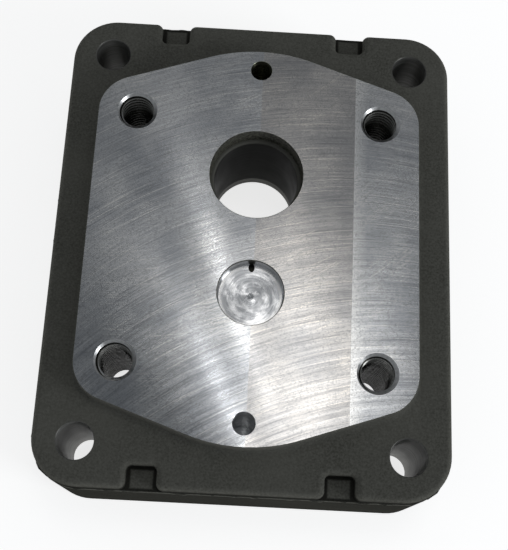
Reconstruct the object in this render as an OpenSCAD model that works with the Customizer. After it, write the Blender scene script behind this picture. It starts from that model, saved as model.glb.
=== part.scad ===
// Cast-iron end head: a deep rectangular casting with a raised machined pad.
// The pad carries four tapped holes, two pin holes, a through bore with a
// pressed-in bush, and a blind spigot recess that drains into the bore.
// Millimetres. The origin is the centre of the underside; +Z points out of the pad.

/* [Casting] */
// Width of the body across X, at the mould's parting line
body_w = 129; // [124:0.5:140]
// Length of the body along Y, at the mould's parting line
body_l = 159; // [152:0.5:170]
// Height from the underside to the unmachined flange face
flange_h = 40.5; // [36:0.5:46]
// Radius of the body's corners in plan
corner_r = 15; // [13:0.5:20]
// Radius of the rounded edge round the flange face
edge_r = 2; // [1:0.25:3]
// Depth of the parting line below the flange face
parting_depth = 4.6; // [3.5:0.1:7]

/* [Machined pad] */
// Height of the pad above the flange face
pad_h = 7; // [4:0.5:10]
// Half the pad's length, out to the rounded peaks over the pin holes
pad_half_l = 66; // [64:0.5:69]
// Radius of the pad's corners, concentric with the tapped holes
pad_corner_r = 12.6; // [11:0.1:13.5]
// Radius of the pad's two peaks
pad_peak_r = 52; // [46:1:52]

/* [Tapped holes] */
// Distance between the tapped holes along X
tap_pitch_x = 80; // [76:0.5:82]
// Distance between the tapped holes along Y
tap_pitch_y = 83.6; // [80:0.2:86]
// Diameter of the drilled core of each tapped hole (M12 x 1.75)
tap_core_d = 10.2; // [9:0.1:10.5]
// Diameter of the countersink at each tapped hole's mouth
tap_mouth_d = 13; // [12.4:0.1:14]

/* [Bore, bush and recess] */
// Distance from the casting's centre to the bore's axis, along Y
bore_y = 21.6; // [20:0.2:24]
// Diameter of the seal seat above the bush
seat_d = 30; // [29.9:0.1:31]
// Outer diameter of the bush and of its housing in the casting
bush_od = 29.6; // [28.8:0.1:29.8]
// Inner diameter of the bush and of the shoulder that it sits on
bush_id = 27.4; // [26:0.2:28]
// Depth of the bush's upper end below the pad face
seal_depth = 5.8; // [4:0.2:7]
// Length of the bush
bush_l = 30; // [24:0.5:30]
// Distance from the casting's centre to the recess's axis, along -Y
recess_y = 18.2; // [17:0.2:20]
// Diameter of the blind recess
recess_d = 20.8; // [18:0.2:22]
// Depth of the blind recess
recess_depth = 4.1; // [3:0.1:6]
// Diameter of the oil drilling from the recess into the bore
oil_d = 2; // [1.5:0.1:2.5]

/* [Fixing and pin holes] */
// Distance between the corner bolt holes along X
bolt_pitch_x = 101.4; // [99:0.2:103]
// Distance between the corner bolt holes along Y
bolt_pitch_y = 131.4; // [129:0.2:133]
// Diameter of the corner bolt holes
bolt_d = 11.5; // [10.5:0.5:12.5]
// Distance between the two pin holes along Y
pin_pitch = 118; // [114:0.5:119]
// Diameter of the pin holes
pin_d = 6.9; // [6:0.1:8]
// Depth of the pin holes' straight wall below the pad face
pin_depth = 28; // [14:0.5:32]

/* [Edge notches and underside] */
// Distance from the centre line to the middle of each edge notch
notch_x = 30; // [26:0.5:34]
// Width of an edge notch
notch_w = 9.2; // [8:0.2:12]
// How far a notch reaches in from the body's end
notch_reach = 7.5; // [5:0.25:8]
// Depth of the cast hollow in the underside
hollow_depth = 8; // [4:0.5:12]
// Width of the land left round the hollow
land_w = 13; // [11.5:0.5:16]
// Radius of the bosses left round the corner bolt holes in the hollow
boss_r = 13; // [11:0.5:15]

/* [Hidden] */
$fn = 96;
total_h = flange_h + pad_h;
parting_z = flange_h - parting_depth;
bush_top = total_h - seal_depth;
bush_bottom = bush_top - bush_l;
lip_out = 0.4;        // how far the parting-line fin stands out of the wall
lip_h = 1.2;          // height of the parting-line fin
upper_inset = 0.3;    // the flange's wall above the fin stands this far in
notch_corner_r = 2;
hollow_corner_r = 8;
bush_chamfer = 0.5;
overrun = 1;          // cutters run this far past the faces that they open
oil_tilt = 50;        // angle of the oil drilling from the vertical
drill_point = 118;    // full angle of the drill that made the blind pin holes
tap_x = tap_pitch_x / 2;
tap_y = tap_pitch_y / 2;
bolt_x = bolt_pitch_x / 2;
bolt_y = bolt_pitch_y / 2;
peak_y = pad_half_l - pad_peak_r;

// The common tangent of a corner arc and the peak arc leans by slope_a from X.
centre_dist = sqrt(tap_x * tap_x + pow(tap_y - peak_y, 2));
slope_a = asin((pad_peak_r - pad_corner_r) / centre_dist) - atan((tap_y - peak_y) / tap_x);
slope_dir = [sin(slope_a), cos(slope_a)];

// One child in each of the four quadrants
module four_corners(x, y) {
    for (sx = [-1, 1], sy = [-1, 1]) translate([sx * x, sy * y, 0]) children();
}

// Rectangle in plan with round corners
module rounded_rect(w, l, r) {
    square([w - 2 * r, l], center = true);
    square([w, l - 2 * r], center = true);
    four_corners(w / 2 - r, l / 2 - r) circle(r);
}

// Block with round vertical corners and a fully rounded top edge
module rounded_block(w, l, h, r, e) {
    linear_extrude(h - e) rounded_rect(w, l, r);
    linear_extrude(h) rounded_rect(w - 2 * e, l - 2 * e, r - e);
    for (side = [-1, 1]) {
        translate([r - w / 2, side * (l / 2 - e), h - e]) rotate([0, 90, 0]) cylinder(r = e, h = w - 2 * r);
        translate([side * (w / 2 - e), l / 2 - r, h - e]) rotate([90, 0, 0]) cylinder(r = e, h = l - 2 * r);
    }
    four_corners(w / 2 - r, l / 2 - r)
        translate([0, 0, h - e]) rotate_extrude() translate([r - e, 0]) circle(e, $fn = 32);
}

// The pad's outline: straight sides, corner arcs round the tapped holes and a broad
// peak over each pin hole, joined by their common tangents
module pad_outline() {
    corner_t = [tap_x, tap_y] + pad_corner_r * slope_dir;
    peak_t = [0, peak_y] + pad_peak_r * slope_dir;
    quarter = [[0, 0], [tap_x + pad_corner_r, 0], [tap_x + pad_corner_r, tap_y], corner_t, peak_t, [0, peak_t[1]]];
    for (sx = [0, 1], sy = [0, 1]) mirror([sx, 0]) mirror([0, sy]) polygon(quarter);
    four_corners(tap_x, tap_y) circle(pad_corner_r);
    for (side = [-1, 1]) translate([0, side * peak_y]) intersection() {
        circle(pad_peak_r, $fn = 180);
        translate([0, side * pad_peak_r]) square([2 * peak_t[0], 2 * (pad_peak_r - peak_t[1] + peak_y)], center = true);
    }
}

// Straight hole with a 45-degree countersink at its mouth, opening at z = 0
module countersunk_hole(d, mouth_d, depth) {
    sink = (mouth_d - d) / 2;
    translate([0, 0, -depth]) cylinder(d = d, h = depth + overrun);
    translate([0, 0, -sink]) cylinder(d1 = d, d2 = mouth_d, h = sink);
    cylinder(d = mouth_d, h = overrun);
}

// Blind drilled hole that opens at z = 0 and ends in the drill's cone
module pin_hole() {
    point_h = pin_d / 2 / tan(drill_point / 2);
    translate([0, 0, -pin_depth]) cylinder(d = pin_d, h = pin_depth + overrun);
    translate([0, 0, -pin_depth - point_h]) cylinder(d1 = 0, d2 = pin_d, h = point_h);
}

// Notch that runs in from an end of the flange, down to the parting line
module edge_notch() {
    reach = notch_reach + lip_out + overrun;
    translate([0, body_l / 2 - notch_reach, parting_z]) linear_extrude(parting_depth + overrun) {
        translate([-notch_w / 2, notch_corner_r]) square([notch_w, reach - notch_corner_r]);
        translate([notch_corner_r - notch_w / 2, 0]) square([notch_w - 2 * notch_corner_r, reach]);
        for (side = [-1, 1]) translate([side * (notch_w / 2 - notch_corner_r), notch_corner_r])
            circle(notch_corner_r, $fn = 32);
    }
}

// The oil drilling: from the edge of the recess floor down into the bore
module oil_drilling() {
    translate([0, recess_d / 2 - recess_y - oil_d / 2, total_h - recess_depth])
        rotate([-oil_tilt, 0, 0]) mirror([0, 0, 1])
            translate([0, 0, -oil_d]) cylinder(d = oil_d, h = 26 + oil_d, $fn = 32);
}

// The cast hollow under the head, with a boss left round each bolt hole
module underside_hollow() {
    translate([0, 0, -overrun]) linear_extrude(hollow_depth + overrun) difference() {
        rounded_rect(body_w - 2 * land_w, body_l - 2 * land_w, hollow_corner_r);
        four_corners(bolt_x, bolt_y) circle(boss_r);
    }
}

module head_casting() color("dimgray") difference() {
    union() {
        linear_extrude(parting_z) rounded_rect(body_w, body_l, corner_r);
        translate([0, 0, parting_z - lip_h])
            linear_extrude(lip_h) rounded_rect(body_w + 2 * lip_out, body_l + 2 * lip_out, corner_r + lip_out);
        rounded_block(body_w - 2 * upper_inset, body_l - 2 * upper_inset, flange_h, corner_r - upper_inset, edge_r);
        linear_extrude(total_h) pad_outline();
    }
    underside_hollow();
    four_corners(bolt_x, bolt_y) translate([0, 0, -overrun]) cylinder(d = bolt_d, h = total_h);
    for (side = [0, 1], end = [0, 1]) mirror([side, 0, 0]) mirror([0, end, 0]) translate([notch_x, 0, 0]) edge_notch();
    translate([0, 0, total_h]) {
        four_corners(tap_x, tap_y) countersunk_hole(tap_core_d, tap_mouth_d, total_h);
        for (side = [-1, 1]) translate([0, side * pin_pitch / 2, 0]) pin_hole();
        translate([0, -recess_y, -recess_depth]) cylinder(d = recess_d, h = recess_depth + overrun);
    }
    translate([0, bore_y, -overrun]) cylinder(d = bush_id, h = total_h);
    translate([0, bore_y, bush_bottom]) cylinder(d = bush_od, h = total_h);
    translate([0, bore_y, bush_top]) cylinder(d = seat_d, h = total_h);
    oil_drilling();
}

module bore_bush() color("silver") difference() {
    translate([0, bore_y, bush_bottom]) cylinder(d = bush_od, h = bush_l);
    translate([0, bore_y, bush_bottom - overrun]) cylinder(d = bush_id, h = bush_l + 2 * overrun);
    translate([0, bore_y, bush_top - bush_chamfer])
        cylinder(d1 = bush_id, d2 = bush_id + 4 * bush_chamfer, h = 2 * bush_chamfer);
    oil_drilling();
}

head_casting();
bore_bush();
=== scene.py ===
import math

import bmesh
import bpy
from mathutils import Matrix, Vector, noise


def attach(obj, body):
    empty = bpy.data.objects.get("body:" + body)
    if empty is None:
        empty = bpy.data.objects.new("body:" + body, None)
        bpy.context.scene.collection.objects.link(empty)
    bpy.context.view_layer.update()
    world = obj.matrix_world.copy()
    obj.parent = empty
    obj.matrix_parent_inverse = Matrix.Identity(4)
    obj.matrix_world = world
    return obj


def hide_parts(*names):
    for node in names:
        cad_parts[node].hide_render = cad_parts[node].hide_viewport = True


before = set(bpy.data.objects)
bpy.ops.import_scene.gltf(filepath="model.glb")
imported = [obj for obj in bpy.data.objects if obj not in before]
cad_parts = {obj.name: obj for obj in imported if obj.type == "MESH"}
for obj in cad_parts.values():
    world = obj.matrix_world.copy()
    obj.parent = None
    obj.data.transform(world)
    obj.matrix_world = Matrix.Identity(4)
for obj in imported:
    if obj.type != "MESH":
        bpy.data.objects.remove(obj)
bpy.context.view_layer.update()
mm = 0.001

# ---------------------------------------------------------------- studio
# The head lies on a pale light table, which is why the through holes look bright at
# their far ends. The camera stands over the recess end and looks down at the pad, and
# one broad lamp and a few narrow ones above it draw the streaks on the machined face.

scene = bpy.context.scene
scene.view_settings.view_transform = "Standard"

camera_place = Vector((-0.004325, -0.105543, 0.342890))
camera_right = Vector((0.998362, 0.047253, 0.032256))
camera_up = Vector((-0.054752, 0.952662, 0.299062))
camera_back = Vector((-0.016597, -0.300339, 0.953688))
lens_mm = 64.965

camera = bpy.data.objects.new("camera", bpy.data.cameras.new("camera"))
camera.data.lens = lens_mm
camera.data.sensor_width = 36
camera.data.clip_start = 0.01
turned_view = Matrix((camera_right, camera_up, camera_back)).transposed()
camera.matrix_world = Matrix.Translation(camera_place) @ turned_view.to_4x4()
scene.collection.objects.link(camera)
scene.camera = camera


def add_node(tree, kind, inputs=None, **settings):
    """Adds a shader node; a socket in inputs is linked, any other value is set."""
    made = tree.nodes.new(kind)
    for name, value in settings.items():
        setattr(made, name, value)
    for name, value in (inputs or {}).items():
        if isinstance(value, bpy.types.NodeSocket):
            tree.links.new(value, made.inputs[name])
        else:
            made.inputs[name].default_value = value
    return made


def calc(tree, operation, *values):
    """One Math node; values are numbers or sockets."""
    inputs = dict(enumerate(values))
    return add_node(tree, "ShaderNodeMath", inputs, operation=operation).outputs[0]


def mix_colour(tree, factor, a, b, blend="MIX"):
    """A colour mix of a and b, which are colours or sockets."""
    made = add_node(tree, "ShaderNodeMix", {0: factor}, data_type="RGBA", blend_type=blend)
    for socket, value in ((6, a), (7, b)):
        if isinstance(value, bpy.types.NodeSocket):
            tree.links.new(value, made.inputs[socket])
        else:
            made.inputs[socket].default_value = (*value, 1)
    return made.outputs[2]


def remap(tree, value, low, high, to_low=0.0, to_high=1.0):
    """A value from the range low to high, taken to the range to_low to to_high and held there."""
    sockets = {"Value": value, "From Min": low, "From Max": high,
               "To Min": to_low, "To Max": to_high}
    return add_node(tree, "ShaderNodeMapRange", sockets).outputs[0]


def surface(name, metallic, specular=0.5, anisotropic=0.0):
    """A new Principled material, its tree and shader, and Object coordinates, whole and split."""
    made = bpy.data.materials.new(name)
    made.use_nodes = True
    tree = made.node_tree
    shader = tree.nodes["Principled BSDF"]
    shader.inputs["Metallic"].default_value = metallic
    shader.inputs["Specular IOR Level"].default_value = specular
    shader.inputs["Anisotropic"].default_value = anisotropic
    place = tree.nodes.new("ShaderNodeTexCoord").outputs["Object"]
    axes = add_node(tree, "ShaderNodeSeparateXYZ", {0: place}).outputs
    return made, tree, shader, place, axes


def grain(tree, place, per_metre, detail=3.0, roughness=0.55, stretch=(1, 1, 1)):
    """Noise at a place, from about 0.2 to 0.8, with its own stretch along X, Y and Z."""
    moved = add_node(tree, "ShaderNodeMapping", {"Vector": place, "Scale": stretch}).outputs[0]
    sockets = {"Vector": moved, "Scale": per_metre, "Detail": detail, "Roughness": roughness}
    return add_node(tree, "ShaderNodeTexNoise", sockets).outputs["Fac"]


def put(tree, shader, colour, roughness, height, depth, tangent=None):
    """Wires a finish to its shader; depth is the height map's full range in metres."""
    tree.links.new(colour, shader.inputs["Base Color"])
    tree.links.new(roughness, shader.inputs["Roughness"])
    bump = add_node(tree, "ShaderNodeBump", {"Height": height, "Distance": depth, "Strength": 1.0})
    tree.links.new(bump.outputs[0], shader.inputs["Normal"])
    if tangent:
        tree.links.new(tangent, shader.inputs["Tangent"])


table_paint, tree, shader, place, axes = surface("table_top", 0)
speckle = grain(tree, place, 900)
table_tint = mix_colour(tree, speckle, (0.80, 0.80, 0.80), (0.83, 0.83, 0.83))
put(tree, shader, table_tint, remap(tree, speckle, 0, 1, 0.6, 0.7), speckle, 0.00001)
shader.inputs["Emission Color"].default_value = (1, 1, 1, 1)
shader.inputs["Emission Strength"].default_value = 0.76

floor_half_m = 12
floor_gap = 0.02 * mm
floor_mesh = bmesh.new()
bmesh.ops.create_grid(floor_mesh, x_segments=1, y_segments=1, size=floor_half_m,
                      matrix=Matrix.Translation((0, 0, -floor_gap)))
mesh = bpy.data.meshes.new("floor")
floor_mesh.to_mesh(mesh)
floor_mesh.free()
mesh.materials.append(table_paint)
floor = bpy.data.objects.new("floor", mesh)
scene.collection.objects.link(floor)

world = bpy.data.worlds.new("studio")
world.use_nodes = True
background = world.node_tree.nodes["Background"]
background.inputs["Color"].default_value = (0.93, 0.97, 1.0, 1)
background.inputs["Strength"].default_value = 0.18
scene.world = world


def soft_light(name, place, width, length, turn, watts, colour):
    """A rectangular area light that faces the head, its long side turned from the Y axis."""
    lamp = bpy.data.lights.new(name, "AREA")
    lamp.shape = "RECTANGLE"
    lamp.size = width
    lamp.size_y = length
    lamp.energy = watts
    lamp.color = colour
    obj = bpy.data.objects.new(name, lamp)
    aim = Vector((0, 0, 0.04)) - Vector(place)
    facing = aim.to_track_quat("-Z", "Y").to_matrix().to_4x4()
    turned_long_side = Matrix.Rotation(math.radians(turn), 4, "Z")
    obj.matrix_world = Matrix.Translation(place) @ facing @ turned_long_side
    scene.collection.objects.link(obj)


warm_white = (1.0, 0.985, 0.96)
soft_light("broad_lamp", (0.100, 0.148, 1.10), 0.26, 0.26, 0, 0.36, warm_white)
soft_light("left_tube_far", (-0.008, 0.275, 1.10), 0.006, 0.06, 20, 0.032, warm_white)
soft_light("left_tube_near", (-0.005, 0.125, 1.10), 0.006, 0.05, 20, 0.030, warm_white)
soft_light("middle_tube", (0.085, 0.130, 1.10), 0.05, 0.18, 15, 0.045, warm_white)
soft_light("right_tube", (0.153, 0.147, 1.10), 0.03, 0.24, 5, 0.018, warm_white)
soft_light("side_fill", (1.35, -0.60, 0.60), 0.5, 0.5, 0, 5.0, (0.95, 0.975, 1.0))

# ---------------------------------------------------------------- head casting
# One grey-iron sand casting: a deep body, a flange above the mould's parting line and a
# raised pad. It is dark with scale and oil where it was left as cast.

total_h = 47.5 * mm
flange_z = 40.5 * mm
parting_z = 35.9 * mm
notch_x = 30 * mm

cast_skin, tree, shader, place, axes = surface("cast_skin", 0, specular=0.0)
sand = grain(tree, place, 1500, detail=4, roughness=0.65)
lumps = grain(tree, place, 260, detail=3)
patches = grain(tree, place, 34, detail=4, roughness=0.6)
skin = mix_colour(tree, remap(tree, patches, 0.35, 0.7),
                  (0.085, 0.085, 0.073), (0.145, 0.145, 0.127))
skin = mix_colour(tree, remap(tree, sand, 0.3, 0.75), skin, (0.200, 0.200, 0.180))
# Painted shade: the body wall below the parting line is painted darker, nearly black from 2.9 mm below
# it down.
painted_wall_shade = remap(tree, axes[2], parting_z - 2.9 * mm, parting_z - 0.2 * mm, 0.78, 0.0)
skin = mix_colour(tree, painted_wall_shade, skin, (0.012, 0.012, 0.010))

# Painted shade: a dark band is painted on the flange's side under its rounded edge, and round the edge
# of each notch's floor.
above_fin = remap(tree, axes[2], parting_z + 0.2 * mm, parting_z + 0.4 * mm)
below_edge = remap(tree, axes[2], flange_z - 2.3 * mm, flange_z - 0.8 * mm, 1.0, 0.0)
painted_edge_shade = calc(tree, "MULTIPLY", above_fin, below_edge)
unshaded_half_w, unshaded_root, unshaded_end, shade_fade = 3.1 * mm, 73.3 * mm, 78.2 * mm, 0.6 * mm
from_middle = calc(tree, "ABSOLUTE", axes[1])
from_notch = calc(tree, "SUBTRACT", calc(tree, "ABSOLUTE", axes[0]), notch_x)
beside = calc(tree, "SUBTRACT", calc(tree, "ABSOLUTE", from_notch), unshaded_half_w)
inward = calc(tree, "SUBTRACT", unshaded_root, from_middle)
outward = calc(tree, "SUBTRACT", from_middle, unshaded_end)
past_unshaded = calc(tree, "MAXIMUM", beside, calc(tree, "MAXIMUM", inward, outward))
painted_corner_shade = remap(tree, past_unshaded, 0.0, shade_fade)
under_limit = remap(tree, axes[2], parting_z + 0.3 * mm, parting_z + 0.4 * mm, 1.0, 0.0)
over_limit = remap(tree, axes[2], parting_z - 0.3 * mm, parting_z - 0.1 * mm)
on_notch_floor = calc(tree, "MULTIPLY", under_limit, over_limit)
painted_shade_mask = calc(tree, "MAXIMUM", painted_edge_shade, calc(tree, "MULTIPLY", painted_corner_shade, on_notch_floor))
# Painted shade: these bands are painted nearly black.
skin = mix_colour(tree, calc(tree, "MULTIPLY", painted_shade_mask, 0.85), skin, (0.014, 0.014, 0.012))
rubbed = remap(tree, grain(tree, place, 120, detail=6, roughness=0.75), 0.66, 0.74)
skin = mix_colour(tree, calc(tree, "MULTIPLY", rubbed, 0.35), skin, (0.12, 0.12, 0.11))
skin_height = calc(tree, "ADD", calc(tree, "MULTIPLY", sand, 0.45), lumps)
put(tree, shader, skin, remap(tree, sand, 0.3, 0.7, 0.72, 0.56), skin_height, 0.00022)

fly_cut, tree, shader, place, axes = surface("fly_cut_face", 1, anisotropic=1.0)
x, y = axes[0], axes[1]
cutter_r = 130 * mm
feed_lean = math.radians(20)
cutter_line = -8 * mm
second_pass_x, third_pass_x = 0.6 * mm, 31.6 * mm
second_pass_shift = -4.5 * mm
lean_sin, lean_cos = math.sin(feed_lean), math.cos(feed_lean)
in_third = calc(tree, "GREATER_THAN", x, third_pass_x)
pass_no = calc(tree, "ADD", calc(tree, "GREATER_THAN", x, second_pass_x), in_third)
across = calc(tree, "MULTIPLY_ADD", y, lean_sin, calc(tree, "MULTIPLY", x, lean_cos))
in_second = calc(tree, "MULTIPLY", pass_no, calc(tree, "SUBTRACT", 2.0, pass_no))
shift = calc(tree, "MULTIPLY_ADD", in_second, second_pass_shift, -cutter_line)
across = calc(tree, "ADD", across, shift)
along = calc(tree, "MULTIPLY_ADD", x, -lean_sin, calc(tree, "MULTIPLY", y, lean_cos))
minus_across = calc(tree, "MULTIPLY", across, -1.0)
rise = calc(tree, "SQRT", calc(tree, "MULTIPLY_ADD", across, minus_across, cutter_r ** 2))
leading = calc(tree, "SUBTRACT", along, rise)
trailing = calc(tree, "ADD", along, rise)
seed = calc(tree, "MULTIPLY", pass_no, 3.7)


def tool_marks(feed, per_metre, streak, detail=3):
    """Marks that hold along a cutter's arc and fade slowly on the way."""
    at = {0: feed, 1: calc(tree, "MULTIPLY", across, streak), 2: seed}
    at = add_node(tree, "ShaderNodeCombineXYZ", at).outputs[0]
    return grain(tree, at, per_metre, detail=detail, roughness=0.6)


fine = tool_marks(leading, 4800, 0.014, detail=2)
broad = tool_marks(leading, 700, 0.030, detail=4)
crossing = tool_marks(trailing, 2600, 0.012)
scored = remap(tree, tool_marks(leading, 2100, 0.010), 0.585, 0.66)
cloud = grain(tree, place, 46, detail=4)
tooth = grain(tree, place, 2200, detail=2)
crossed = calc(tree, "MULTIPLY", crossing, remap(tree, cloud, 0.40, 0.58))
crossed_lines = calc(tree, "MULTIPLY", remap(tree, crossing, 0.57, 0.64),
                     remap(tree, cloud, 0.42, 0.60))
fine_lines = calc(tree, "MULTIPLY", remap(tree, fine, 0.40, 0.60), 0.65)
bright = mix_colour(tree, remap(tree, broad, 0.32, 0.68), (0.34, 0.355, 0.38), (0.64, 0.655, 0.68))
bright = mix_colour(tree, fine_lines, bright, (0.78, 0.79, 0.80))
bright = mix_colour(tree, calc(tree, "MULTIPLY", scored, 0.75), bright, (1.0, 0.99, 0.96))
bright = mix_colour(tree, calc(tree, "MULTIPLY", crossed_lines, 0.65), bright, (0.90, 0.89, 0.86))
warm_pass = calc(tree, "COMPARE", pass_no, 1.0, 0.1)
bright = mix_colour(tree, warm_pass, bright, (0.95, 0.91, 0.87), blend="MULTIPLY")
dulled = remap(tree, cloud, 0.58, 0.36)
bright = mix_colour(tree, dulled, bright, (0.72, 0.735, 0.76), blend="MULTIPLY")
# Painted highlight: a lighter band is painted just past the third pass's edge, fading out over 4.5 mm.
sheen_band_w = 4.5 * mm
painted_sheen_fade = remap(tree, x, third_pass_x, third_pass_x + sheen_band_w, 0.55, 0.0)
bright = mix_colour(tree, calc(tree, "MULTIPLY", in_third, painted_sheen_fade), bright, (0.97, 0.97, 0.96))
pits = calc(tree, "MULTIPLY", remap(tree, tooth, 0.50, 0.66), 0.50)
bright = mix_colour(tree, pits, bright, (0.24, 0.25, 0.26))
marks = calc(tree, "MULTIPLY_ADD", crossed, 0.5, calc(tree, "MULTIPLY_ADD", fine, 0.5, broad))
radial_x = calc(tree, "MULTIPLY_ADD", across, lean_cos, calc(tree, "MULTIPLY", rise, -lean_sin))
radial_y = calc(tree, "MULTIPLY_ADD", across, lean_sin, calc(tree, "MULTIPLY", rise, lean_cos))
steer = {0: radial_x, 1: radial_y}
radial = add_node(tree, "ShaderNodeCombineXYZ", steer).outputs[0]
radial = add_node(tree, "ShaderNodeVectorMath", {0: radial}, operation="NORMALIZE").outputs[0]
put(tree, shader, bright, remap(tree, broad, 0.3, 0.7, 0.175, 0.145), marks, 0.000005, radial)


def solid_of(name, shape, *materials):
    """Turns a finished bmesh into an object whose faces point outwards."""
    bmesh.ops.recalc_face_normals(shape, faces=shape.faces)
    made = bpy.data.meshes.new(name)
    shape.to_mesh(made)
    shape.free()
    for material in materials:
        made.materials.append(material)
    obj = bpy.data.objects.new(name, made)
    scene.collection.objects.link(obj)
    return obj


def grow(shape, cap, steps):
    """Grows a solid upwards from a cap face, by steps of (inset, height)."""
    for inset, height in steps:
        if inset:
            bmesh.ops.inset_region(shape, faces=[cap], thickness=inset, depth=height,
                                   use_even_offset=True)
        else:
            cap = bmesh.ops.extrude_discrete_faces(shape, faces=[cap])["faces"][0]
            bmesh.ops.translate(shape, verts=cap.verts, vec=(0, 0, height))
    return cap


def raise_plate(shape, z, height, steps=()):
    """Lifts a plan face to z and grows it upwards into a closed solid; returns its cap."""
    bmesh.ops.translate(shape, verts=shape.verts, vec=(0, 0, z))
    cap = shape.faces[:][0]
    if cap.normal.z < 0:
        cap.normal_flip()
    grown = bmesh.ops.extrude_face_region(shape, geom=[cap], use_keep_orig=True)
    cap = [part for part in grown["geom"] if isinstance(part, bmesh.types.BMFace)][0]
    bmesh.ops.translate(shape, verts=cap.verts, vec=(0, 0, height))
    return grow(shape, cap, steps)


def quarter_round(radius, steps, foot=False):
    """Steps of (inset, height) round a quarter circle: an edge, or the fillet at a foot."""
    turn = [math.pi / 2 * i / steps for i in range(steps + 1)]
    if foot:
        path = [(radius * math.sin(a), radius * (1 - math.cos(a))) for a in turn]
    else:
        path = [(radius * (1 - math.cos(a)), radius * math.sin(a)) for a in turn]
    return [(b[0] - a[0], b[1] - a[1]) for a, b in zip(path, path[1:])]


def round_corners(shape, verts, radius, segments):
    """Rounds right-angled corners of a plan face."""
    bmesh.ops.bevel(shape, geom=list(verts), offset=radius, affect="VERTICES", segments=segments,
                    profile=0.5, material=-1)


def plate(width, length, corner):
    """A plan face at height 0 with round corners."""
    shape = bmesh.new()
    bmesh.ops.create_grid(shape, x_segments=1, y_segments=1, size=0.5)
    bmesh.ops.scale(shape, verts=shape.verts, vec=(width, length, 1))
    round_corners(shape, shape.verts, corner, 14)
    return shape


def combine(target, tool, operation):
    """Joins a tool into a target, or cuts it out, and takes the tool away."""
    cut = target.modifiers.new(operation, "BOOLEAN")
    cut.operation = operation
    cut.solver = "EXACT"
    cut.material_mode = "TRANSFER"
    cut.object = tool
    done = target.evaluated_get(bpy.context.evaluated_depsgraph_get())
    mesh = bpy.data.meshes.new_from_object(done)
    target.modifiers.clear()
    target.data = mesh
    bpy.data.objects.remove(tool)


four_corners = [(sx, sy) for sx in (-1, 1) for sy in (-1, 1)]

# Body below the parting line: straight walls down to a milled joint face.

body_w, body_l, body_corner = 129 * mm, 159 * mm, 15 * mm
shape = plate(body_w, body_l, body_corner)
top_break, rim_break = 0.3 * mm, 0.5 * mm
raise_plate(shape, 0, parting_z - top_break, [(top_break, top_break)])
rim = [e for e in shape.edges if max(v.co.z for v in e.verts) < 0.1 * mm]
bmesh.ops.bevel(shape, geom=rim, offset=rim_break, affect="EDGES", segments=2, profile=0.5,
                material=-1)
joint_face = min(shape.faces, key=lambda f: f.calc_center_median().z)
joint_face.material_index = 1
casting = solid_of("cast_head", shape, cast_skin, fly_cut)

# Parting-line fin: a thin ragged ridge where the two halves of the mould met.

fin_out, fin_z, fin_h = 0.4 * mm, 34.9 * mm, 0.75 * mm
ragged_share, ragged_rise = 0.010, 0.18 * mm
shape = plate(body_w + 2 * fin_out, body_l + 2 * fin_out, body_corner + fin_out)
straight = [e for e in shape.edges if e.calc_length() > 20 * mm]
bmesh.ops.subdivide_edges(shape, edges=straight, cuts=90)
raise_plate(shape, fin_z, fin_h)
for v in shape.verts:
    ragged = noise.noise(Vector((v.co.x, v.co.y, 0)) * 190) + 0.6 * noise.noise(v.co * 610)
    pull = 1 - (0.5 + 0.5 * min(max(ragged * 1.6, -1), 1)) * ragged_share
    v.co.x *= pull
    v.co.y *= pull
    v.co.z += ragged_rise * noise.noise(v.co * 320)
combine(casting, solid_of("fin", shape, cast_skin), "UNION")

# Flange above the parting line, with a fully rounded edge and four lifting notches.

flange_inset = 0.3 * mm
edge_r = 2 * mm
half_w, half_l = body_w / 2 - flange_inset, body_l / 2 - flange_inset
notch_w, notch_end = 9.2 * mm, 72 * mm
root_r, mouth_corner_r = 1.6 * mm, 2.3 * mm
flange_low = 30 * mm
near, far = notch_x - notch_w / 2, notch_x + notch_w / 2
side = [(half_w, half_l), (far, half_l), (far, notch_end), (near, notch_end), (near, half_l)]
top_half = side + [(-x, y) for x, y in reversed(side)]
outline = top_half + [(-x, -y) for x, y in top_half]
shape = bmesh.new()
points = [shape.verts.new((x, y, 0)) for x, y in outline]
shape.faces.new(points)
mouths = [v for v in points if abs(v.co.x) < half_w - mm and abs(v.co.y) > half_l - mm]
roots = [v for v in points if abs(v.co.y) < half_l - mm]
corners = [v for v in points if abs(v.co.x) > half_w - mm]
round_corners(shape, corners, body_corner - flange_inset, 14)
round_corners(shape, roots, root_r, 5)
round_corners(shape, mouths, mouth_corner_r, 6)
raise_plate(shape, flange_low, flange_z - edge_r - flange_low, quarter_round(edge_r, 6))
combine(casting, solid_of("flange", shape, cast_skin), "UNION")

# Raised pad: its corners run round the tapped holes and it comes to a blunt peak over each
# pin hole. The wall is as cast, with a fillet at its foot; the face is fly-cut flat.

tap_x, tap_y = 40 * mm, 41.8 * mm
pad_corner, pad_peak, peak_y = 12.6 * mm, 52 * mm, 14 * mm
foot_r, draft, burr = 1.5 * mm, 0.25 * mm, 0.15 * mm
spread = foot_r + draft + burr
pad_low, foot_sink = 39 * mm, 0.02 * mm
shape = bmesh.new()
for z in (pad_low, flange_z - foot_sink):
    for sx, sy in four_corners:
        at = Matrix.Translation((sx * tap_x, sy * tap_y, z))
        bmesh.ops.create_circle(shape, segments=96, radius=pad_corner + spread, matrix=at)
    for sy in (-1, 1):
        at = Matrix.Translation((0, sy * peak_y, z))
        bmesh.ops.create_circle(shape, segments=240, radius=pad_peak + spread, matrix=at)
hull = bmesh.ops.convex_hull(shape, input=shape.verts)
unused = {part for part in hull["geom_interior"] if isinstance(part, bmesh.types.BMVert)}
bmesh.ops.delete(shape, geom=list(unused), context="VERTS")
bmesh.ops.dissolve_limit(shape, angle_limit=0.002, verts=shape.verts, edges=shape.edges)
bmesh.ops.recalc_face_normals(shape, faces=shape.faces)
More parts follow.
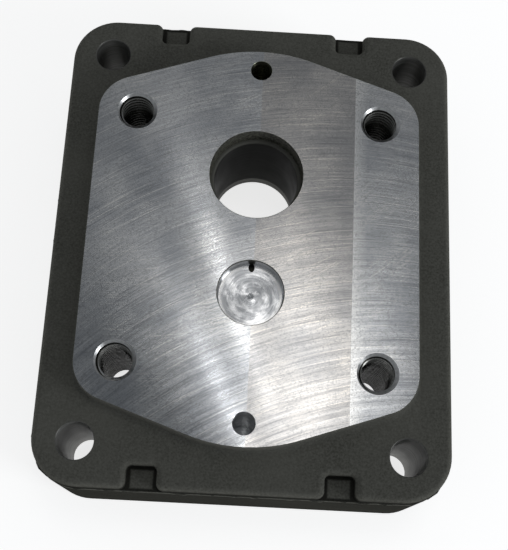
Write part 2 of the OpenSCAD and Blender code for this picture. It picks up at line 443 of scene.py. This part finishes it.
cap = max(shape.faces, key=lambda f: f.calc_center_median().z)
wall_h = total_h - flange_z - foot_r - burr + foot_sink
cap = grow(shape, cap, [*quarter_round(foot_r, 5, foot=True), (draft, wall_h), (burr, burr)])
cap.material_index = 1
combine(casting, solid_of("pad", shape, cast_skin, fly_cut), "UNION")

# Cast hollow in the underside, with a boss left round each corner bolt hole.

bolt_x, bolt_y = 50.7 * mm, 65.7 * mm
boss_r, hollow_h = 13 * mm, 8 * mm
hollow_w, hollow_l, hollow_corner, hollow_edge = 103 * mm, 133 * mm, 8 * mm, 1.5 * mm


def turned(points, x=0.0, y=0.0, steps=72):
    """A closed turned shape from its half outline of (radius, height), axis to axis."""
    shape = bmesh.new()
    verts = [shape.verts.new((x + r, y, z)) for r, z in points]
    edges = [shape.edges.new(pair) for pair in zip(verts, verts[1:])]
    bmesh.ops.spin(shape, geom=verts + edges, cent=(x, y, 0), axis=(0, 0, 1), angle=2 * math.pi,
                   steps=steps, use_merge=True)
    bmesh.ops.remove_doubles(shape, verts=shape.verts, dist=0.001 * mm)
    return shape


shape = plate(hollow_w, hollow_l, hollow_corner)
raise_plate(shape, -mm, hollow_h + mm - hollow_edge, quarter_round(hollow_edge, 4))
hollow = solid_of("hollow", shape, cast_skin)
boss_low, boss_high = -2 * mm, 12 * mm
for sx, sy in four_corners:
    boss = turned([(0, boss_low), (boss_r, boss_low), (boss_r, boss_high), (0, boss_high)],
                  sx * bolt_x, sy * bolt_y)
    combine(hollow, solid_of("boss", boss, cast_skin), "DIFFERENCE")
combine(casting, hollow, "DIFFERENCE")

# Corner bolt holes: drilled right through, with the drill's feed lines left in the wall.


def hole_axis(tree):
    """The way a hole runs, which spreads the shine of the lines cut round its wall."""
    return add_node(tree, "ShaderNodeCombineXYZ", {0: 0.0, 1: 0.0, 2: 1.0}).outputs[0]


drilled, tree, shader, place, axes = surface("drilled_wall", 0.5, specular=0.3, anisotropic=0.4)
feed = grain(tree, place, 1, detail=3, stretch=(60, 60, 1900))
stain = grain(tree, place, 190, detail=4)
wall = mix_colour(tree, remap(tree, stain, 0.35, 0.65), (0.12, 0.12, 0.11), (0.20, 0.20, 0.19))
wall = mix_colour(tree, remap(tree, feed, 0.35, 0.65), wall, (0.26, 0.26, 0.25))
put(tree, shader, wall, remap(tree, stain, 0.3, 0.7, 0.42, 0.55), feed, 0.00003, hole_axis(tree))

bolt_r, bolt_break = 5.75 * mm, 0.25 * mm
bolt_mouth_r = bolt_r + bolt_break
for sx, sy in four_corners:
    shape = turned([(0, -mm), (bolt_mouth_r, -mm), (bolt_mouth_r, 0), (bolt_r, bolt_break),
                    (bolt_r, flange_z - bolt_break), (bolt_mouth_r, flange_z),
                    (bolt_mouth_r, flange_z + mm), (0, flange_z + mm)], sx * bolt_x, sy * bolt_y)
    combine(casting, solid_of("bolt_hole", shape, drilled), "DIFFERENCE")

# Bore: bored through the boss line, opened out for the bush and left open above it as a
# rough-bored seal seat. The blind recess below it was plunged with a flat cutter.

bore_y, bore_r, bush_outer, bush_r = 21.6 * mm, 15 * mm, 14.8 * mm, 13.7 * mm
bush_low, bush_top, bore_break = 11.7 * mm, 41.7 * mm, 0.2 * mm

bored, tree, shader, place, axes = surface("bored_wall", 0.05, specular=0.04, anisotropic=0.5)
feed = grain(tree, place, 1, detail=3, stretch=(90, 90, 2600))
mottle = grain(tree, place, 1300, detail=4, roughness=0.7)
seat = calc(tree, "GREATER_THAN", axes[2], bush_top - 0.1 * mm)
wall = mix_colour(tree, remap(tree, feed, 0.35, 0.65), (0.05, 0.05, 0.045), (0.10, 0.10, 0.09))
rough_wall = mix_colour(tree, remap(tree, mottle, 0.35, 0.65),
                        (0.03, 0.03, 0.024), (0.20, 0.20, 0.165))
wall = mix_colour(tree, seat, wall, rough_wall)
rough = calc(tree, "MULTIPLY_ADD", seat, 0.12, 0.36)
bore_height = calc(tree, "ADD", feed, calc(tree, "MULTIPLY", mottle, seat))
put(tree, shader, wall, rough, bore_height, 0.00003, hole_axis(tree))

shape = turned([(0, -mm), (bush_r, -mm), (bush_r, bush_low), (bush_outer, bush_low),
                (bush_outer, bush_top), (bore_r, bush_top), (bore_r, total_h - bore_break),
                (bore_r + bore_break, total_h), (bore_r + bore_break, total_h + mm),
                (0, total_h + mm)], 0, bore_y, 128)
combine(casting, solid_of("bore", shape, bored), "DIFFERENCE")

recess_y, recess_r, recess_floor = -18.2 * mm, 10.4 * mm, 43.4 * mm
swirled, tree, shader, place, axes = surface("swirled_floor", 1, anisotropic=0.75)
from_axis = add_node(tree, "ShaderNodeVectorMath", {0: place, 1: (0, recess_y, 0)},
                     operation="SUBTRACT").outputs[0]
flat = add_node(tree, "ShaderNodeVectorMath", {0: from_axis, 1: (1, 1, 0)},
                operation="MULTIPLY").outputs[0]
reach = add_node(tree, "ShaderNodeVectorMath", {0: flat}, operation="LENGTH").outputs["Value"]
parts = add_node(tree, "ShaderNodeSeparateXYZ", {0: flat}).outputs
turn = calc(tree, "ARCTAN2", parts[1], parts[0])
coil_lead = 0.35 * mm
coil = calc(tree, "ADD", reach, calc(tree, "MULTIPLY", turn, coil_lead))


def swirl(change):
    """A place that changes with the coil and, by change metres, on the way round it."""
    round_x = calc(tree, "MULTIPLY", calc(tree, "COSINE", turn), change)
    round_y = calc(tree, "MULTIPLY", calc(tree, "SINE", turn), change)
    return add_node(tree, "ShaderNodeCombineXYZ", {0: coil, 1: round_x, 2: round_y}).outputs[0]


rings = grain(tree, swirl(0.5 * mm), 1700, detail=3)
blotch = grain(tree, swirl(3.5 * mm), 430, detail=2)
shiny = calc(tree, "MULTIPLY", remap(tree, blotch, 0.46, 0.62), 0.8)
tint = mix_colour(tree, remap(tree, rings, 0.32, 0.68), (0.36, 0.375, 0.40), (0.74, 0.755, 0.78))
tint = mix_colour(tree, shiny, tint, (0.96, 0.97, 0.99))
outer_ring = remap(tree, reach, 9.0 * mm, 9.2 * mm, 0.0, 0.6)
tint = mix_colour(tree, outer_ring, tint, (0.80, 0.80, 0.80))
from_centre = add_node(tree, "ShaderNodeVectorMath", {0: flat}, operation="NORMALIZE").outputs[0]
put(tree, shader, tint, remap(tree, blotch, 0.3, 0.7, 0.32, 0.20), rings, 0.00003, from_centre)
recess_break, floor_corner = 0.25 * mm, 0.35 * mm
pip = [(0, recess_floor - 0.35 * mm), (0.45 * mm, recess_floor - 0.1 * mm), (1.4 * mm, recess_floor)]
shape = turned([*pip, (recess_r - floor_corner, recess_floor),
                (recess_r, recess_floor + floor_corner), (recess_r, total_h - recess_break),
                (recess_r + recess_break, total_h), (recess_r + recess_break, total_h + mm),
                (0, total_h + mm)], 0, recess_y, 128)
recess = solid_of("recess", shape, swirled, bored)
for face in recess.data.polygons:
    face.material_index = int(face.center.z > total_h - recess_break)
combine(casting, recess, "DIFFERENCE")

# Oil drilling: a small hole from the top of the recess floor, sloping down into the bore.

oil_r, oil_tilt = 1 * mm, math.radians(50)
oil_low, oil_high = -26 * mm, 2 * mm
oil_start = Vector((0, recess_y + recess_r - oil_r, recess_floor))
shape = turned([(0, oil_low), (oil_r, oil_low), (oil_r, oil_high), (0, oil_high)], steps=24)
bmesh.ops.transform(shape, verts=shape.verts,
                    matrix=Matrix.Translation(oil_start) @ Matrix.Rotation(oil_tilt, 4, "X"))
combine(casting, solid_of("oil_drilling", shape, bored), "DIFFERENCE")

# Pin holes: one under each peak of the pad, drilled blind and ending in the drill's cone.
# The one at the bore end is painted dark as painted shade, and the one at the recess end light: lit and
# shaded copies of one finish.

reamed_hole, tree, shader, place, axes = surface("reamed_hole", 1, anisotropic=0.95)
feed = grain(tree, place, 1, detail=3, stretch=(120, 120, 2400))
lit_copy_tint = mix_colour(tree, remap(tree, feed, 0.35, 0.65), (0.80, 0.81, 0.82), (0.96, 0.97, 0.98))
shaded_copy_tint = mix_colour(tree, remap(tree, feed, 0.35, 0.65), (0.16, 0.17, 0.11), (0.34, 0.35, 0.26))
# Painted shade: the pin hole at the bore end takes the dark copy, the one at the recess end the light
# one.
tint = mix_colour(tree, calc(tree, "GREATER_THAN", axes[1], 0.0), lit_copy_tint, shaded_copy_tint)
put(tree, shader, tint, remap(tree, feed, 0.3, 0.7, 0.24, 0.32), feed, 0.000008, hole_axis(tree))

pin_y, pin_r, pin_floor, pin_point = 59 * mm, 3.45 * mm, 19.5 * mm, 2.07 * mm
pin_break = 0.12 * mm
for sy in (-1, 1):
    shape = turned([(0, pin_floor - pin_point), (pin_r, pin_floor), (pin_r, total_h - pin_break),
                    (pin_r + pin_break, total_h), (pin_r + pin_break, total_h + mm), (0, total_h + mm)],
                   0, sy * pin_y, 96)
    combine(casting, solid_of("pin_hole", shape, reamed_hole), "DIFFERENCE")

# Tapped holes: M12 x 1.75 cut right through, with a countersink at each mouth.

threaded, tree, shader, place, axes = surface("cut_thread", 0.9, specular=0.2)
oil = grain(tree, place, 420, detail=3)
off_x = calc(tree, "SUBTRACT", calc(tree, "ABSOLUTE", axes[0]), tap_x)
off_y = calc(tree, "SUBTRACT", calc(tree, "ABSOLUTE", axes[1]), tap_y)
off_axis_2 = calc(tree, "MULTIPLY_ADD", off_x, off_x, calc(tree, "MULTIPLY", off_y, off_y))
off_axis = calc(tree, "SQRT", off_axis_2)
pitch, minor_r, major_r, mouth_r = 1.75 * mm, 5.1 * mm, 6.0 * mm, 6.5 * mm
# Painted highlight: the thread crests are painted light near the mouth, fading out from 1.5 mm to 10.5
# mm below the top.
on_crest = remap(tree, off_axis, minor_r + 0.02 * mm, minor_r + 0.3 * mm, 1.0, 0.0)
glint_depth_fade = remap(tree, axes[2], total_h - 10.5 * mm, total_h - 1.5 * mm)
painted_crest_glint = calc(tree, "MULTIPLY", on_crest, glint_depth_fade)
tint = mix_colour(tree, remap(tree, oil, 0.35, 0.65),
                  (0.010, 0.010, 0.008), (0.028, 0.028, 0.024))
tint = mix_colour(tree, painted_crest_glint, tint, (0.45, 0.45, 0.43))
put(tree, shader, tint, remap(tree, oil, 0.3, 0.7, 0.20, 0.34), oil, 0.00002)

countersunk, tree, shader, place, axes = surface("countersunk_mouth", 1)
chatter = grain(tree, place, 900, detail=3)
tint = mix_colour(tree, remap(tree, chatter, 0.35, 0.65), (0.70, 0.705, 0.71), (0.95, 0.955, 0.96))
put(tree, shader, tint, remap(tree, chatter, 0.3, 0.7, 0.28, 0.40), chatter, 0.00002)


def thread(x, y, low, high, steps=36):
    """A helical cutter: one pitch of the thread's outline, repeated and swept round once."""
    shape = bmesh.new()
    one_turn = [(minor_r, 0), (minor_r, pitch / 4),
                (major_r, pitch * 9 / 16), (major_r, pitch * 11 / 16)]
    turns = math.ceil((high - low) / pitch) + 1
    points = [(r, low - pitch + pitch * i + z) for i in range(turns) for r, z in one_turn]
    points.append((minor_r, low - pitch + pitch * turns))
    verts = [shape.verts.new((x + r, y, z)) for r, z in points]
    edges = [shape.edges.new(pair) for pair in zip(verts, verts[1:])]
    bmesh.ops.spin(shape, geom=verts + edges, cent=(x, y, 0), axis=(0, 0, 1),
                   angle=2 * math.pi, dvec=(0, 0, pitch / steps), steps=steps)
    bmesh.ops.remove_doubles(shape, verts=shape.verts, dist=0.001 * mm)
    middle = (low + high) / 2
    for tip_z in (low - pitch * 1.5, high + pitch * 1.5):
        loose = [e for e in shape.edges
                 if e.is_boundary and (e.verts[0].co.z > middle) == (tip_z > middle)]
        tips = bmesh.ops.extrude_edge_only(shape, edges=loose)["geom"]
        tips = [part for part in tips if isinstance(part, bmesh.types.BMVert)]
        bmesh.ops.pointmerge(shape, verts=tips, merge_co=(x, y, tip_z))
    return shape


pilot_r, pilot_low = minor_r - 0.1 * mm, 30 * mm
sink_low = total_h - (mouth_r - pilot_r)
for sx, sy in four_corners:
    x, y = sx * tap_x, sy * tap_y
    shape = turned([(0, pilot_low), (pilot_r, pilot_low), (pilot_r, sink_low),
                    (mouth_r, total_h), (mouth_r, total_h + mm), (0, total_h + mm)], x, y, 72)
    combine(casting, solid_of("mouth", shape, countersunk), "DIFFERENCE")
    combine(casting, solid_of("thread", thread(x, y, hollow_h, total_h), threaded), "DIFFERENCE")

for polygon in casting.data.polygons:
    polygon.use_smooth = True
casting.data.set_sharp_from_angle(angle=math.radians(32))
even = casting.modifiers.new("even_normals", "WEIGHTED_NORMAL")
even.keep_sharp = True
depsgraph = bpy.context.evaluated_depsgraph_get()
mesh = bpy.data.meshes.new_from_object(casting.evaluated_get(depsgraph),
                                       preserve_all_data_layers=True, depsgraph=depsgraph)
casting.modifiers.clear()
casting.data = mesh
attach(casting, "root")
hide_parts("head_casting")

# ---------------------------------------------------------------- bore bush
# A plain steel-backed bush, pressed into the bore against a shoulder and reamed to size.
# It keeps its CAD shape and gets an oily, nearly black wall, with its upper lip painted lighter as a
# painted highlight.

reamed, tree, shader, place, axes = surface("reamed_bush", 0, specular=0.01, anisotropic=0.45)
feed = grain(tree, place, 1, detail=3, stretch=(50, 50, 2200))
film = grain(tree, place, 150, detail=3)
tint = mix_colour(tree, remap(tree, film, 0.3, 0.7), (0.009, 0.010, 0.009), (0.018, 0.019, 0.017))
lines = calc(tree, "MULTIPLY", remap(tree, feed, 0.4, 0.65), 0.4)
tint = mix_colour(tree, lines, tint, (0.032, 0.032, 0.029))
# Painted highlight: the bush is painted lighter at its top, fading in from 0.8 mm to 0.4 mm below its
# top.
painted_lip_highlight = remap(tree, axes[2], bush_top - 0.8 * mm, bush_top - 0.4 * mm)
tint = mix_colour(tree, painted_lip_highlight, tint, (0.15, 0.15, 0.135))
put(tree, shader, tint, remap(tree, film, 0.3, 0.7, 0.30, 0.42), feed, 0.000012, hole_axis(tree))
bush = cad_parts["bore_bush"]
for spot in bush.material_slots:
    spot.material = reamed
